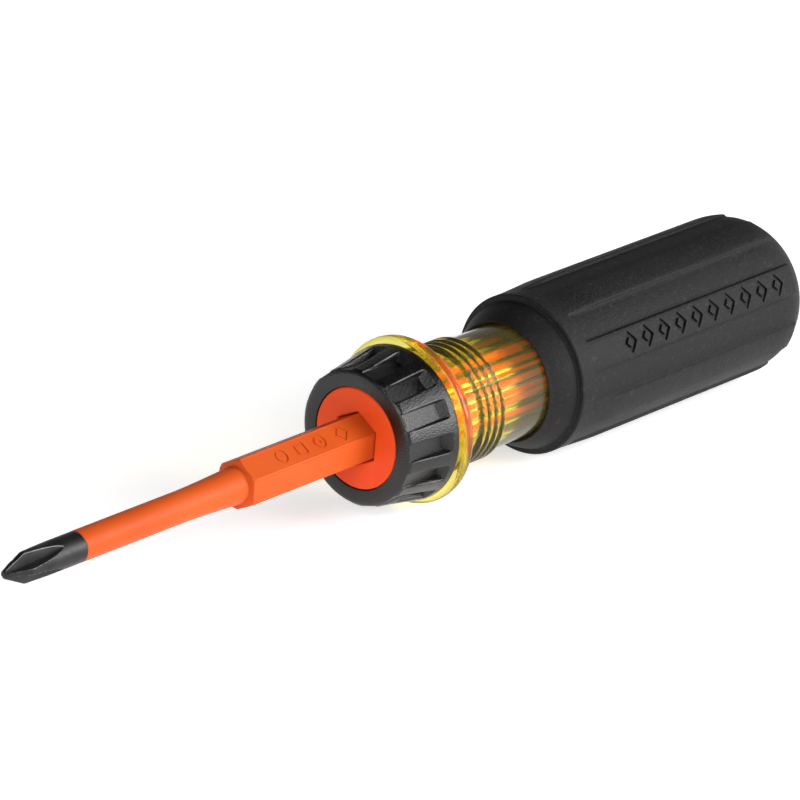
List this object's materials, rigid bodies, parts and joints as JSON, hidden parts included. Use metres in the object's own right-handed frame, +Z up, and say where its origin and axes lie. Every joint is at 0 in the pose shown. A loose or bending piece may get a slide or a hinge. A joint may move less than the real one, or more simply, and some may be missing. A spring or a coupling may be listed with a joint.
{
  "type": "insulated screwdriver",
  "caption": "Insulated screwdriver with a double-ended flip blade, hexagonal drive section, collet and locking nut, translucent handle core and ribbed cushion grip.",
  "frame": {"origin": "on the surface the tool lies on, under the middle of its length", "axes": "+X along the tool from the cross tip to the butt, +Z up, the tool lying level"},
  "size_m": [0.2144, 0.033, 0.033],
  "materials": {
    "black_steel": "black oxide, satin",
    "inner_insulation": "matte",
    "orange_insulation": "satin gloss",
    "orange_collet": "satin",
    "black_nut": "fine grained",
    "retainer_plastic": "matte",
    "amber_core": "clear amber plastic",
    "grip_rubber": "matte rubber"
  },
  "bodies": {
    "handle": {"handle_core": "amber_core", "bore_plug": "retainer_plastic", "cushion_grip": "grip_rubber"},
    "collet": {"clamp_collet": "orange_collet"},
    "nut": {"locking_nut": "black_nut", "collet_retainer": "retainer_plastic"},
    "blade": {"blade_steel": "black_steel", "blade_inner_layer": "inner_insulation", "blade_cover": "orange_insulation"}
  },
  "joints": [
    {"name": "collet_slide", "type": "slide", "parent": "handle", "child": "collet", "axis": [-1, 0, 0], "range_m": [0, 0.003]},
    {"name": "nut_turn", "type": "hinge", "parent": "collet", "child": "nut", "pos_m": [-0.00725, 0, 0.0165], "axis": [-1, 0, 0], "range_deg": [0, 540]},
    {"name": "blade_slide", "type": "slide", "parent": "handle", "child": "blade", "axis": [-1, 0, 0], "range_m": [0, 0.096]}
  ],
  "couplings": [
    {"joint": "collet_slide", "follows": "nut_turn", "m_per_rad": 0.0003183}
  ]
}
